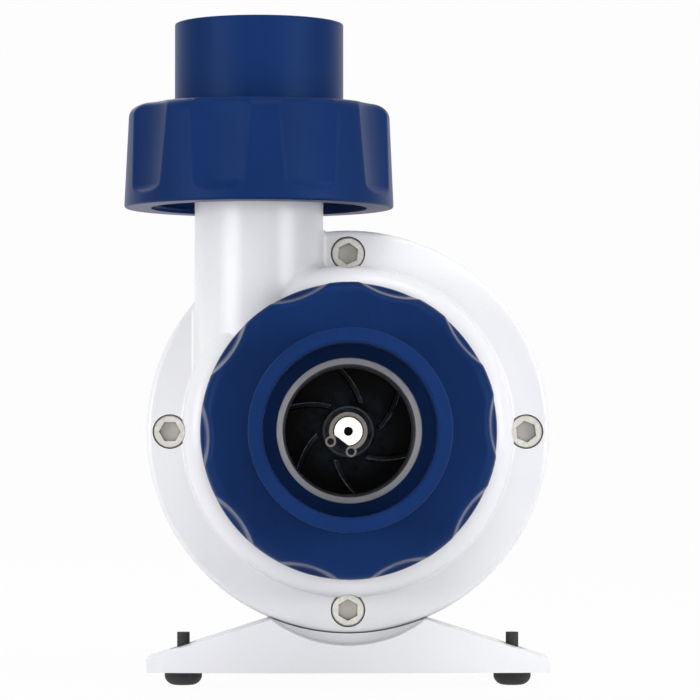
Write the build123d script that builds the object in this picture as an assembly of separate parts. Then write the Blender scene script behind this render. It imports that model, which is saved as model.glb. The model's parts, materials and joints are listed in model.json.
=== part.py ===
"""Centrifugal aquarium pump with two union couplings, in millimetres.

The pieces are laid out round the shaft. It runs along Y with the inlet towards -Y, and the outlet
stands up along +Z, to the left of the shaft. The plane y = 0 holds the outlet's axis. Last of all
the pump is moved so that its origin is the middle of its footprint, on the floor.
"""

from build123d import *
from math import atan2, cos, degrees, exp, log, radians, sin, sqrt, tan
import os

# Clearances
running_gap = 0.05
loose_gap = 0.3
screw_gap = 0.1

# Casing: flange, boss and the chamber inside
casing_front = 1.0
casing_depth = 21.0
casing_edge_round = 1.6
flange_edge = 1.9
boss_wall = 2.3
boss_root_round = 1.3
boss_height = 19.5
boss_round = 7.0
boss_crown = 0.9
pipe_corner_round = 2.5
impeller_gap = 1.8
volute_growth = 4.6
volute_start = 95.0
chamber_depth = 17.5
chamber_wall = 4.0
plate_seat_ledge = 1.6
plate_seat_depth = 12.5
screw_wall = 1.3

# Inlet throat, and the collar that the inlet nut screws on
inlet_collar_end = 42.0
throat_radius = 19.1
throat_mouth_radius = 19.65

# Outlet pipe
outlet_pipe_radius = 19.7
outlet_pipe_inset = 3.3
outlet_bore_radius = 16.3
outlet_collar_end = 89.5
outlet_collar_height = 15.6
outlet_foot_height = 10.0
outlet_round_height = 52.0
outlet_corner_round = 8.0
collar_chamfer = 1.2

# Union couplings: both nuts run on the same pipe thread, drawn as its plain core
thread_radius = 32.85
thread_depth = 1.45
nut_height = 31.1
nut_lip = 5.0
nut_lip_gap = 0.6
nut_front_round = 3.8
nut_rear_round = 0.8
tail_flange = 5.0
tail_edge_round = 0.5
tail_lead_in = 0.6
tail_flange_radius = 31.5
flute_depth = 1.6
flute_deepening = 1.1
flute_end = 3.2
flute_end_round = 3.0
flute_edge_round = 2.0

inlet_nut_radius = 44.6
inlet_nut_taper = 1.05
inlet_flutes = 10
inlet_flute_phase = 2.0
inlet_flute_angle = 25.0
inlet_socket_radius = 25.0
inlet_socket_wall = 4.2
inlet_socket_depth = 31.0
inlet_tail_passage = 21.4
inlet_tail_ledge = 2.0

outlet_nut_radius = 41.3
outlet_nut_taper = 1.4
outlet_flutes = 9
outlet_flute_phase = -66.5
outlet_flute_angle = 29.0
outlet_socket_radius = 20.0
outlet_socket_wall = 5.85
outlet_socket_depth = 26.0
outlet_tail_ledge = 4.5

union_seal_section = 1.5
union_seal_radius = 26.8

# Screws: head radius, head height, shank radius and hexagon across its flats
casing_screw = (5.0, 6.0, 3.0, 5.8)
casing_screw_cover = 2.0
casing_screw_turns = (38.0, 25.0, 0.0, 30.0)
counterbore_gap = 0.3
socket_share = 0.55
cap_screw = (3.5, 4.0, 2.0, 3.0)
cap_screw_length = 12.0
foot_screw = (4.25, 5.0, 2.5, 4.0)
foot_screw_spread = 14.0
foot_screw_bite = 8.0

# Rotor
shaft_radius = 4.6
shaft_nose = 14.5
shaft_end = 91.5
shaft_flat_share = 0.81
shaft_flat_angle = 233.0
shaft_centre_radius = 1.35
shaft_centre_depth = 4.0
shaft_chamfer = 0.35
impeller_radius = 40.0
impeller_disc = 2.8
impeller_running_gap = 1.0
blade_front_gap = 1.0
blade_count = 6
blade_first_angle = 7.0
blade_inner_radius = 9.4
blade_sweep = 42.3
blade_thickness = 1.5
hub_radius = 7.8
hub_nose = 10.0
hub_round = 0.8
circlip_thickness = 1.2
circlip_radius = 5.9
circlip_groove = 0.4
circlip_lug_radius = 1.7
circlip_hole_radius = 1.0
circlip_lug_circle = 6.2
circlip_lug_angles = (278.0, 210.0)
magnet_radius = 15.5
magnet_start = 40.0
magnet_length = 40.0

# Bearings, plate and can
bearing_radius = 9.0
front_bearing_length = 10.5
bearing_stop = 1.5
bearing_stop_lip = 2.0
rear_bearing_length = 7.4
washer_radius = 8.0
washer_thickness = 1.3
plate_hub_radius = 28.0
plate_web = 4.5
plate_rim = 5.5
plate_seal_section = 1.1
plate_seal_inset = 4.0
can_wall = 1.2
can_gap = 0.8
can_flange_radius = 26.0
can_flange = 3.0
can_length = 72.0
can_seal_section = 1.0
can_seal_radius = 22.0

# Motor
housing_flange = 10.0
barrel_radius = 50.0
barrel_wall = 4.0
barrel_fillet = 4.0
housing_end = 100.0
rear_flange = 8.0
rear_flange_edge = 1.0
rear_screw_wall = 0.5
stator_start = 42.0
stator_length = 36.0
stator_gap = 0.25
yoke_width = 8.5
tooth_count = 6
tooth_width = 9.0
tooth_shoe = 2.6
tooth_shoe_angle = 46.0
coil_width = 4.6
foot_pad_width = 42.0
foot_pad_drop = 6.0
foot_pad_start = 66.0
foot_pad_length = 24.0

# Rear cap and cable gland
cap_rim = 7.0
cap_rise = 5.0
cap_dome_inset = 9.6
cap_spigot = 6.0
cap_wall = 6.0
cap_seal_section = 1.2
gland_height = -22.0
gland_pad_radius = 14.5
gland_thread_radius = 8.0
gland_cable_radius = 5.0
gland_relief = 0.5
gland_hex = 22.0
gland_collar = 6.0
gland_neck = 8.0
gland_neck_radius = 9.0
gland_nut_height = 13.0
gland_nut_lip = 3.0
gland_washer_thickness = 1.5
gland_insert_depth = 5.0
gland_insert_wall = 2.0

# Feet
foot_inset = 0.5
foot_front = -10.0
foot_depth = 27.0
foot_drop = 11.5
foot_end_height = 4.25
foot_peak_offset = 23.2
foot_peak_height = 16.35
foot_scoop_radius = 39.0
foot_scoop_height = 8.3
facet_top_offset = 33.7
facet_top_height = 9.5
facet_foot_offset = 25.4
facet_angle = 6.0
rear_foot_width = 86.0
rear_foot_depth = 22.0
rear_foot_start = 67.0
rear_foot_end_height = 5.0
rear_foot_peak = 9.0
rear_foot_column = 40.0
rubber_foot_inset = 10.65
rear_rubber_inset = 8.0
rubber_dome_radius = 5.75
rubber_height = 4.6
rubber_rim = 2.0
rubber_sole_radius = 2.2
rubber_stem_radius = 1.95
rubber_stem_rise = 4.0
rear_stem_rise = 1.4
rubber_pocket_radius = 4.1
rubber_pocket_depth = 2.4
rubber_barb_radius = 3.1
rubber_barb_height = 1.2

# Stations along the shaft and other sizes that follow from those above
casing_screw_count = len(casing_screw_turns)
casing_rear = casing_front + casing_depth
chamber_radius = impeller_radius + impeller_gap
plate_seat_radius = chamber_radius + volute_growth + plate_seat_ledge
casing_screw_circle = plate_seat_radius + screw_wall + casing_screw[0] + counterbore_gap
casing_radius = casing_screw_circle + casing_screw[0] + counterbore_gap + flange_edge
boss_radius = plate_seat_radius + boss_wall
outlet_offset = boss_radius - outlet_pipe_radius - outlet_pipe_inset
boss_front = casing_front - boss_height
boss_face = boss_front - boss_crown
plate_front = casing_rear - plate_seat_depth
chamber_front = plate_front - chamber_depth
chamber_throat = chamber_front - chamber_wall
collar_radius = thread_radius - thread_depth
impeller_back = plate_front - impeller_running_gap
housing_flange_end = casing_rear + housing_flange
casing_screw_tip = housing_flange_end - casing_screw_cover
casing_screw_length = casing_screw_tip - casing_front - casing_screw[1]
barrel_bore = barrel_radius - barrel_wall
cap_screw_circle = barrel_radius + rear_screw_wall + cap_screw[2] + screw_gap
rear_flange_radius = cap_screw_circle + cap_screw[0] + counterbore_gap + rear_flange_edge
cap_dome_radius = cap_screw_circle - cap_dome_inset
front_bearing_end = casing_rear - bearing_stop
front_bearing_start = front_bearing_end - front_bearing_length
can_inner = magnet_radius + can_gap
can_outer = can_inner + can_wall
can_end = casing_rear + can_length
rear_bearing_end = can_end - can_wall - running_gap
cap_face = housing_end + cap_rim
cap_top = cap_face + cap_rise
foot_base = casing_radius + foot_drop
foot_width = 2 * (casing_radius - foot_inset)
rubber_foot_spread = foot_width / 2 - rubber_foot_inset
rear_rubber_spread = rear_foot_width / 2 - rear_rubber_inset
floor_height = -(foot_base + rubber_height)
wing_slope = (foot_peak_height - foot_end_height) / (foot_width / 2 - foot_peak_offset)


def turned(points):
    """Revolve a closed outline of (radius, station) points about the shaft's axis."""
    return revolve(make_face(Polyline(*points, close=True)), Axis.Y, 360)


def turned_upright(points):
    """Revolve a closed outline of (radius, height) points about the Z axis."""
    return revolve(Plane.XZ * make_face(Polyline(*points, close=True)), Axis.Z, 360)


def rod(radius, start, end, x=0.0, z=0.0):
    """A cylinder along the shaft's direction between two stations."""
    place = Pos(x, (start + end) / 2, z) * Rot(90, 0, 0)
    return place * Cylinder(radius, abs(end - start))


def post(radius, low, high, x=0.0, y=0.0):
    """An upright cylinder between two heights."""
    return Pos(x, y, (low + high) / 2) * Cylinder(radius, high - low)


def ring_seal(radius, section, station):
    """An O-ring round the shaft's axis."""
    return Pos(0, station, 0) * Rot(90, 0, 0) * Torus(radius, section)


def spaced(count, first=0.0):
    """Angles of evenly spaced copies, in degrees."""
    return [first + 360 * step / count for step in range(count)]


def around(radius, angle):
    """Point on a circle, with the angle counted from +X."""
    return radius * cos(radians(angle)), radius * sin(radians(angle))


def edges_near(shape, radius, station):
    """Circular edges about the shaft with a given radius and station."""
    circles = shape.edges().filter_by(GeomType.CIRCLE)
    return circles.filter_by(
        lambda edge: abs(edge.radius - radius) < screw_gap
        and abs(edge.arc_center.Y - station) < screw_gap
    )


def rims_of(shape, radius, height):
    """Circular edges about the Z axis with a given radius and height."""
    circles = shape.edges().filter_by(GeomType.CIRCLE)
    return circles.filter_by(
        lambda edge: abs(edge.radius - radius) < screw_gap
        and abs(edge.arc_center.Z - height) < screw_gap
    )


def socket_screw(sizes, length):
    """Socket head screw along Z: its head's top is at z = 0 and its shank points down."""
    head_radius, head_height, shank_radius, hexagon = sizes
    head = post(head_radius, -head_height, 0)
    head = chamfer(head.edges().filter_by(GeomType.CIRCLE).group_by(Axis.Z)[-1], head_radius / 12)
    shank = post(shank_radius, -head_height - length, -head_height)
    shank = chamfer(shank.edges().group_by(Axis.Z)[0], shank_radius / 5)
    recess = extrude(RegularPolygon(hexagon / 2, 6, major_radius=False), -head_height * socket_share)
    return head + shank - recess


def union_nut(radius, taper, lip_bore, flutes, phase, flute_angle):
    """Fluted nut along Z: z = 0 is the plane of its collar's end face."""
    rear = nut_lip + tail_flange - nut_height
    front = nut_lip + tail_flange
    rim = radius - taper
    bore = thread_radius + loose_gap
    body = turned_upright(
        [
            (bore, rear),
            (radius, rear),
            (rim, front),
            (lip_bore, front),
            (lip_bore, tail_flange),
            (bore, tail_flange),
        ]
    )
    body = fillet(rims_of(body, rim, front), nut_front_round)
    body = fillet(rims_of(body, radius, rear), nut_rear_round)
    lean = degrees(atan2(taper + flute_deepening, nut_height))
    rim_depth = flute_depth + flute_deepening
    half_chord = rim * sin(radians(flute_angle / 2))
    sink = rim * cos(radians(flute_angle / 2)) - (rim - rim_depth)
    flute_radius = (half_chord**2 + sink**2) / (2 * sink)
    flute_length = nut_height - flute_end
    cutter = Cylinder(flute_radius, flute_length * 2)
    cutter = fillet(cutter.edges().group_by(Axis.Z)[0], flute_end_round)
    cutter = Pos(0, 0, flute_length) * cutter
    for angle in spaced(flutes, phase):
        root = (radius - taper * flute_end / nut_height) - flute_depth
        place = Rot(0, 0, angle) * Pos(root, 0, rear + flute_end) * Rot(0, -lean, 0)
        body -= place * Pos(flute_radius, 0, 0) * cutter
    return fillet(body.edges().filter_by(GeomType.BSPLINE), flute_edge_round)


def union_tail(socket_radius, wall, socket_depth, passage, ledge_height):
    """Glued pipe socket with its flange, along Z from the collar's end face."""
    tube = socket_radius + wall
    ledge = tail_flange + ledge_height
    top = ledge + socket_depth
    body = turned_upright(
        [
            (passage, 0),
            (tail_flange_radius, 0),
            (tail_flange_radius, tail_flange),
            (tube, tail_flange),
            (tube, top),
            (socket_radius, top),
            (socket_radius, ledge),
            (passage, ledge),
        ]
    )
    body = chamfer(rims_of(body, socket_radius, top), tail_lead_in)
    return fillet(rims_of(body, tube, top), tail_edge_round)


def union_seal():
    """Face O-ring that lies in the collar's end face, along Z."""
    return Pos(0, 0, -union_seal_section) * Torus(union_seal_radius, union_seal_section)


def seal_groove():
    """The groove that holds the face O-ring, cut down from z = 0."""
    outer = post(union_seal_radius + union_seal_section + loose_gap, -2 * union_seal_section, 0)
    return outer - post(union_seal_radius - union_seal_section - loose_gap, -2 * union_seal_section, 0)


inlet_place = Pos(0, -inlet_collar_end, 0) * Rot(90, 0, 0)
outlet_place = Pos(-outlet_offset, 0, outlet_collar_end)


def volute_outline():
    """Spiral wall of the chamber: it widens the way the impeller turns, up to the outlet."""
    steps = 24
    points = []
    for step in range(steps + 1):
        turn = step / steps
        radius = chamber_radius + volute_growth * turn
        points.append(around(radius, volute_start - 360 * turn))
    spiral = Spline(*points)
    return make_face([spiral, Line(points[-1], points[0])])


def casing_chamber():
    """Everything hollow in the casing: throat, chamber, seat of the bearing plate and outlet."""
    throat = turned(
        [
            (0, -inlet_collar_end),
            (throat_mouth_radius, -inlet_collar_end),
            (throat_radius, chamber_throat),
            (chamber_radius, chamber_front),
            (chamber_radius, casing_rear),
            (0, casing_rear),
        ]
    )
    spiral = Pos(0, plate_front, 0) * Rot(90, 0, 0) * extrude(volute_outline(), chamber_depth)
    seat = rod(plate_seat_radius, plate_front, casing_rear)
    middle = (chamber_front + plate_front) / 2
    low_section = Pos(-outlet_offset, middle, outlet_foot_height) * RectangleRounded(
        2 * outlet_bore_radius, chamber_depth, outlet_corner_round
    )
    high_section = Pos(-outlet_offset, 0, outlet_round_height) * Circle(outlet_bore_radius)
    passage = loft([low_section, high_section])
    riser = post(outlet_bore_radius, outlet_round_height, outlet_collar_end, -outlet_offset)
    return throat + spiral + seat + passage + riser


def inner_corner(body):
    """The edge where the boss's side runs into the right side of the outlet pipe."""
    across = outlet_pipe_radius - outlet_offset
    corner = Vector(across, casing_front / 2, sqrt(boss_radius**2 - across**2))
    return body.edges().sort_by(lambda edge: edge.distance_to(corner))[0]


def screw_recess(x, z):
    """Seat of a screw's head, open to the front past the boss, and its shank's hole."""
    head_radius, head_height, shank_radius, _ = casing_screw
    seat = rod(head_radius + counterbore_gap, boss_face, casing_front + head_height, x, z)
    return seat + rod(shank_radius + screw_gap, casing_front, casing_rear, x, z)


def make_volute_casing():
    """White front casing in one moulding: flange, round boss, outlet pipe and both collars."""
    corner = JernArc((boss_radius, boss_front + boss_round), (0, -1), boss_round, -90)
    outline = [
        Line((0, -inlet_collar_end), (collar_radius, -inlet_collar_end)),
        Line((collar_radius, -inlet_collar_end), (collar_radius, boss_face)),
        Line((collar_radius, boss_face), corner @ 1),
        corner,
        Polyline(
            corner @ 0,
            (boss_radius, casing_front),
            (casing_radius, casing_front),
            (casing_radius, casing_rear),
            (0, casing_rear),
            (0, -inlet_collar_end),
        ),
    ]
    body = revolve(make_face(outline), Axis.Y, 360)
    body = fillet(edges_near(body, casing_radius, casing_front), casing_edge_round)
    body = chamfer(edges_near(body, collar_radius, -inlet_collar_end), collar_chamfer)
    pipe = post(outlet_pipe_radius, 0, outlet_collar_end, -outlet_offset)
    collar_low = outlet_collar_end - outlet_collar_height
    collar = post(collar_radius, collar_low, outlet_collar_end, -outlet_offset)
    collar = chamfer(collar.edges().filter_by(GeomType.CIRCLE), collar_chamfer)
    body = body + pipe
    body = fillet([inner_corner(body)], pipe_corner_round)
    body = fillet(edges_near(body, boss_radius, casing_front), boss_root_round)
    body = body + collar - casing_chamber()
    body -= inlet_place * seal_groove()
    body -= outlet_place * seal_groove()
    for angle in spaced(casing_screw_count):
        body -= screw_recess(*around(casing_screw_circle, angle))
    for side in (-1, 1):
        body -= post(
            foot_screw[2] + screw_gap,
            -casing_radius,
            front_screw_top + screw_gap,
            side * foot_screw_spread,
            foot_middle,
        )
    return body


def make_casing_screws():
    """Four screws that hold the casing to the motor housing, heads flush with the flange."""
    screw = socket_screw(casing_screw, casing_screw_length)
    screws = []
    for angle, turn in zip(spaced(casing_screw_count), casing_screw_turns):
        x, z = around(casing_screw_circle, angle)
        screws.append(Pos(x, casing_front, z) * Rot(90, 0, 0) * Rot(0, 0, turn) * screw)
    return Compound(screws)


def blade_outline(first_angle):
    """One backward curved blade: a log spiral of even thickness, from hub to rim."""
    steps = 6
    rate = blade_sweep / log(impeller_radius / blade_inner_radius)
    reach = log((impeller_radius + blade_thickness) / blade_inner_radius)
    points = []
    for step in range(steps + 1):
        growth = reach * step / steps
        points.append(around(blade_inner_radius * exp(growth), first_angle + rate * growth))
    return trace(Spline(*points), blade_thickness)


def make_impeller():
    """Open impeller: hub and back disc with curved blades that follow the casing's front wall."""
    disc_front = impeller_back - impeller_disc
    body = rod(impeller_radius, disc_front, impeller_back)
    envelope = turned(
        [
            (blade_inner_radius - blade_thickness, disc_front),
            (blade_inner_radius - blade_thickness, chamber_throat + blade_front_gap),
            (throat_radius, chamber_throat + blade_front_gap),
            (impeller_radius, chamber_front + blade_front_gap),
            (impeller_radius, disc_front),
        ]
    )
    blades = [
        Pos(0, disc_front, 0) * Rot(90, 0, 0) * extrude(blade_outline(angle), disc_front - chamber_throat)
        for angle in spaced(blade_count, blade_first_angle)
    ]
    for blade in blades:
        body += blade & envelope
    hub = rod(hub_radius, -hub_nose, impeller_back)
    hub = fillet(hub.edges().group_by(Axis.Y)[0], hub_round)
    body += hub
    return body - shaft_section(-hub_nose, impeller_back, running_gap / 2)


def shaft_section(start, end, allowance=0.0):
    """Stretch of the shaft with its flat, grown by an allowance for the hub's bore."""
    radius = shaft_radius + allowance
    flat = shaft_radius * shaft_flat_share + allowance
    section = rod(radius, start, end)
    cutter = Pos(0, (start + end) / 2, 0) * Rot(0, -shaft_flat_angle, 0) * Pos(flat + radius, 0, 0)
    return section - cutter * Box(2 * radius, end - start, 4 * radius)


def make_shaft():
    """Ground steel shaft, with a flat for the impeller, a circlip groove and a centre hole."""
    front = shaft_section(-shaft_nose, impeller_back)
    tail = rod(shaft_radius, impeller_back, shaft_end)
    body = front + tail
    body = chamfer(body.edges().group_by(Axis.Y)[0], shaft_chamfer)
    body = chamfer(body.edges().group_by(Axis.Y)[-1], shaft_chamfer)
    groove = rod(2 * shaft_radius, -hub_nose - circlip_thickness - screw_gap, -hub_nose)
    groove -= rod(shaft_radius - circlip_groove, -hub_nose - circlip_thickness - screw_gap, -hub_nose)
    body -= groove
    return body - rod(shaft_centre_radius, -shaft_nose, shaft_centre_depth - shaft_nose)


def make_shaft_circlip():
    """Retaining ring with two eyes, open on the side between them."""
    inner = shaft_radius - circlip_groove + running_gap
    first, last = circlip_lug_angles
    ring = Circle(circlip_radius) - Circle(inner)
    middle = (first + last) / 2
    reach = 3 * circlip_radius
    gap_half = radians((first - last) / 2)
    gap = make_face(
        Polyline((0, 0), (reach, reach * tan(gap_half)), (reach, -reach * tan(gap_half)), close=True)
    )
    ring -= Rot(0, 0, middle) * gap
    for angle in circlip_lug_angles:
        x, z = around(circlip_lug_circle, angle)
        ring += Pos(x, z) * Circle(circlip_lug_radius)
    ring -= Circle(inner)
    for angle in circlip_lug_angles:
        x, z = around(circlip_lug_circle, angle)
        ring -= Pos(x, z) * Circle(circlip_hole_radius)
    return Pos(0, -hub_nose, 0) * Rot(90, 0, 0) * extrude(ring, circlip_thickness)


def make_rotor_magnet():
    """Magnet sleeve, pressed on the shaft."""
    sleeve = rod(magnet_radius, magnet_start, magnet_start + magnet_length)
    sleeve = chamfer(sleeve.edges().filter_by(GeomType.CIRCLE), can_gap)
    return sleeve - rod(shaft_radius + running_gap / 2, magnet_start, magnet_start + magnet_length)


def bush(radius, start, end):
    """Plain round bush with running clearance on the shaft."""
    return rod(radius, start, end) - rod(shaft_radius + running_gap, start, end)


def make_thrust_washers():
    """Washers that take the rotor's end thrust, one by each bearing."""
    rear_bearing_start = rear_bearing_end - rear_bearing_length
    return Compound(
        [
            bush(washer_radius, station - washer_thickness, station)
            for station in (front_bearing_start, rear_bearing_start)
        ]
    )


def make_bearing_plate():
    """Wall behind the impeller, dished at the back, with the front bearing's seat and stop."""
    rim = plate_seat_radius - screw_gap
    rim_inner = rim - plate_rim
    web_back = plate_front + plate_web
    groove_end = casing_rear - plate_seal_inset + plate_seal_section
    groove_start = casing_rear - plate_seal_inset - plate_seal_section
    groove_floor = plate_seat_radius - 2 * plate_seal_section
    body = turned(
        [
            (bearing_radius, plate_front),
            (rim, plate_front),
            (rim, groove_start),
            (groove_floor, groove_start),
            (groove_floor, groove_end),
            (rim, groove_end),
            (rim, casing_rear),
            (rim_inner, casing_rear),
            (rim_inner, web_back),
            (plate_hub_radius, web_back),
            (plate_hub_radius, casing_rear),
            (bearing_radius - bearing_stop_lip, casing_rear),
            (bearing_radius - bearing_stop_lip, front_bearing_end),
            (bearing_radius, front_bearing_end),
        ]
    )
    groove = rod(can_seal_radius + can_seal_section, casing_rear - 2 * can_seal_section, casing_rear)
    groove -= rod(can_seal_radius - can_seal_section, casing_rear - 2 * can_seal_section, casing_rear)
    return body - groove


def make_rotor_can():
    """Thin closed can round the rotor, with a flange in front and the rear bearing's pocket."""
    pocket = bearing_radius + running_gap
    pocket_start = rear_bearing_end - rear_bearing_length
    return turned(
        [
            (can_inner, casing_rear),
            (can_flange_radius, casing_rear),
            (can_flange_radius, casing_rear + can_flange),
            (can_outer, casing_rear + can_flange),
            (can_outer, pocket_start + can_wall),
            (pocket + can_wall, pocket_start + can_wall),
            (pocket + can_wall, can_end),
            (0, can_end),
            (0, can_end - can_wall),
            (pocket, can_end - can_wall),
            (pocket, pocket_start),
            (can_inner, pocket_start),
        ]
    )


def stator_section():
    """Lamination with teeth and pole shoes, seen along the shaft."""
    outer = barrel_bore - stator_gap
    bore = can_outer + loose_gap
    section = Circle(outer) - Circle(outer - yoke_width)
    reach = outer - yoke_width / 2 - bore
    for angle in spaced(tooth_count, 90):
        section += Rot(0, 0, angle) * Pos(bore + reach / 2, 0) * Rectangle(reach, tooth_width)
        wedge_half = reach * tan(radians(tooth_shoe_angle / 2))
        wedge = make_face(Polyline((0, 0), (reach, wedge_half), (reach, -wedge_half), close=True))
        section += Rot(0, 0, angle) * (wedge & (Circle(bore + tooth_shoe) - Circle(bore)))
    return section - Circle(bore)


def make_stator_core():
    """Laminated core of the motor."""
    return Pos(0, stator_start + stator_length, 0) * Rot(90, 0, 0) * extrude(stator_section(), stator_length)


def make_stator_windings():
    """One coil round each tooth."""
    inside = (tooth_width + 2 * screw_gap, stator_length + 2 * screw_gap)
    outside = (inside[0] + 2 * coil_width, inside[1] + 2 * coil_width)
    yoke_bore = barrel_bore - stator_gap - yoke_width
    coil_start = can_outer + 2 * loose_gap + tooth_shoe
    coil_end = sqrt(yoke_bore**2 - (outside[0] / 2) ** 2) - screw_gap
    loop = RectangleRounded(*outside, coil_width) - Rectangle(*inside)
    coil = extrude(loop, coil_end - coil_start)
    middle = stator_start + stator_length / 2
    coils = []
    for angle in spaced(tooth_count, 90):
        place = Pos(0, middle, 0) * Rot(0, 90 - angle, 0) * Pos(0, 0, coil_start)
        coils.append(place * coil)
    return Compound(coils)


def make_motor_housing():
    """Cup round the stator, with the casing's screws in front and the cap's screws behind."""
    body = turned(
        [
            (can_outer + loose_gap, casing_rear),
            (casing_radius, casing_rear),
            (casing_radius, housing_flange_end),
            (barrel_radius, housing_flange_end),
            (barrel_radius, housing_end - rear_flange),
            (rear_flange_radius, housing_end - rear_flange),
            (rear_flange_radius, housing_end),
            (barrel_bore, housing_end),
            (barrel_bore, casing_rear + housing_flange / 2 + can_flange / 2),
            (can_outer + loose_gap, casing_rear + housing_flange / 2 + can_flange / 2),
        ]
    )
    pad_height = barrel_radius - barrel_wall / 2
    pad_low = barrel_radius + foot_pad_drop
    pad = Pos(0, foot_pad_start + foot_pad_length / 2, -(pad_low + pad_height) / 2) * Box(
        foot_pad_width, foot_pad_length, pad_low - pad_height + 2 * barrel_wall
    )
    pad = Pos(0, 0, barrel_wall) * pad
    body += pad - rod(barrel_radius - barrel_wall / 2, foot_pad_start, foot_pad_start + foot_pad_length)
    body = fillet(edges_near(body, barrel_radius, housing_flange_end), barrel_fillet)
    body -= rod(can_flange_radius + loose_gap, casing_rear, casing_rear + can_flange)
    for angle in spaced(casing_screw_count):
        x, z = around(casing_screw_circle, angle)
        body -= rod(casing_screw[2] + screw_gap, casing_rear, casing_screw_tip + screw_gap, x, z)
    for angle in spaced(casing_screw_count, 45):
        x, z = around(cap_screw_circle, angle)
        body -= rod(cap_screw[2] + screw_gap, cap_screw_tip - screw_gap, housing_end, x, z)
    for side in (-1, 1):
        body -= post(
            foot_screw[2] + screw_gap,
            -pad_low,
            rear_screw_top + screw_gap,
            side * foot_screw_spread,
            rear_foot_middle,
        )
    return body


def make_rear_cap():
    """Domed lid of the motor, with a spigot, a pad for the gland and counterbored holes."""
    spigot = barrel_bore - screw_gap
    spigot_inner = spigot - cap_wall
    seal_floor = barrel_bore - 2 * cap_seal_section
    groove_low = housing_end - cap_spigot / 2 - cap_seal_section
    groove_high = housing_end - cap_spigot / 2 + cap_seal_section
    crown = ThreePointArc(
        (cap_dome_radius, cap_face),
        (cap_dome_radius * 0.55, cap_face + cap_rise * 0.7),
        (0, cap_top),
    )
    outline = [
        crown,
        Polyline(
            crown @ 1,
            (0, housing_end),
            (spigot_inner, housing_end),
            (spigot_inner, housing_end - cap_spigot),
            (spigot, housing_end - cap_spigot),
            (spigot, groove_low),
            (seal_floor, groove_low),
            (seal_floor, groove_high),
            (spigot, groove_high),
            (spigot, housing_end),
            (rear_flange_radius, housing_end),
            (rear_flange_radius, cap_face),
            (cap_dome_radius, cap_face),
        ),
    ]
    body = revolve(make_face(outline), Axis.Y, 360)
    body = fillet(edges_near(body, rear_flange_radius, cap_face), casing_edge_round)
    body += rod(gland_pad_radius, housing_end, cap_top, 0, gland_height)
    body -= rod(gland_thread_radius + screw_gap, housing_end - cap_spigot, cap_top, 0, gland_height)
    head_radius, head_height, shank_radius, _ = cap_screw
    for angle in spaced(casing_screw_count, 45):
        x, z = around(cap_screw_circle, angle)
        body -= rod(head_radius + counterbore_gap, cap_face - head_height, cap_top, x, z)
        body -= rod(shank_radius + screw_gap, housing_end, cap_face, x, z)
    return body


def make_rear_cap_screws():
    """Four screws of the rear cap, heads sunk flush."""
    screw = Rot(-90, 0, 0) * socket_screw(cap_screw, cap_screw_length)
    places = [around(cap_screw_circle, angle) for angle in spaced(casing_screw_count, 45)]
    return Compound([Pos(x, cap_face, z) * screw for x, z in places])


gland_place = Pos(0, cap_top + gland_washer_thickness, gland_height) * Rot(-90, 0, 0)


def make_gland_body():
    """Cable gland along Z: threaded root, hexagon collar and a neck that takes the insert."""
    root = post(gland_thread_radius, -gland_washer_thickness - cap_rim, 0)
    collar = extrude(RegularPolygon(gland_hex / 2, 6, major_radius=False), gland_collar)
    neck = post(gland_neck_radius, gland_collar, gland_collar + gland_neck)
    seat_radius = gland_cable_radius + gland_insert_wall + loose_gap
    seat = post(seat_radius, gland_insert_floor, gland_collar + gland_neck)
    bore = post(gland_cable_radius + gland_relief, -gland_washer_thickness - cap_rim, gland_insert_floor)
    return gland_place * (root + collar + neck - seat - bore)


def make_gland_washer():
    """Flat rubber washer between the gland's collar and the cap's pad."""
    flat = post(gland_hex / 2, -gland_washer_thickness, 0)
    return gland_place * (flat - post(gland_thread_radius + screw_gap, -gland_washer_thickness, 0))


def make_gland_insert():
    """Rubber sleeve that grips the cable."""
    radius = gland_cable_radius + gland_insert_wall
    top = gland_insert_top
    sleeve = post(radius, gland_insert_floor, top)
    return gland_place * (sleeve - post(gland_cable_radius, gland_insert_floor, top))


def make_gland_nut():
    """Domed clamping nut of the gland, hexagonal at its foot."""
    base = gland_collar + loose_gap
    height = gland_nut_height
    nut = extrude(RegularPolygon(gland_hex / 2, 6, major_radius=False), height)
    dome = turned_upright(
        [
            (0, 0),
            (gland_hex, 0),
            (gland_hex, height * 0.45),
            (gland_hex / 2, height * 0.6),
            (gland_cable_radius + gland_nut_lip, height),
            (0, height),
        ]
    )
    nut &= dome
    nut -= post(gland_neck_radius + loose_gap, 0, height - gland_nut_lip)
    nut -= post(gland_cable_radius + loose_gap, 0, height)
    return gland_place * Pos(0, 0, base) * nut


gland_insert_top = gland_collar + loose_gap + gland_nut_height - gland_nut_lip
gland_insert_floor = gland_collar + gland_neck - gland_insert_depth
foot_middle = foot_front + foot_depth / 2 + (casing_front - foot_front) / 2
rear_foot_middle = rear_foot_start + rear_foot_depth / 2
front_screw_top = foot_screw_bite - sqrt(casing_radius**2 - foot_screw_spread**2)
rear_screw_top = foot_screw_bite - barrel_radius - foot_pad_drop
cap_screw_tip = cap_face - cap_screw[1] - cap_screw_length


def foot_screw_holes(top, spread, station):
    """Counterbored holes for the screws that come up through a foot."""
    head_radius, head_height, shank_radius, _ = foot_screw
    holes = []
    for side in (-1, 1):
        x = side * spread
        holes.append(post(head_radius + counterbore_gap, -foot_base, head_height - foot_base, x, station))
        holes.append(post(shank_radius + screw_gap, -foot_base, top, x, station))
    return holes


def rubber_foot_hole(x, station, top):
    """Stepped hole for a rubber foot's stem, with a pocket at the top for its barb."""
    hole = post(rubber_stem_radius + screw_gap, -foot_base, 0, x, station)
    return hole + post(rubber_pocket_radius, top - rubber_pocket_depth, 0, x, station)


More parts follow.
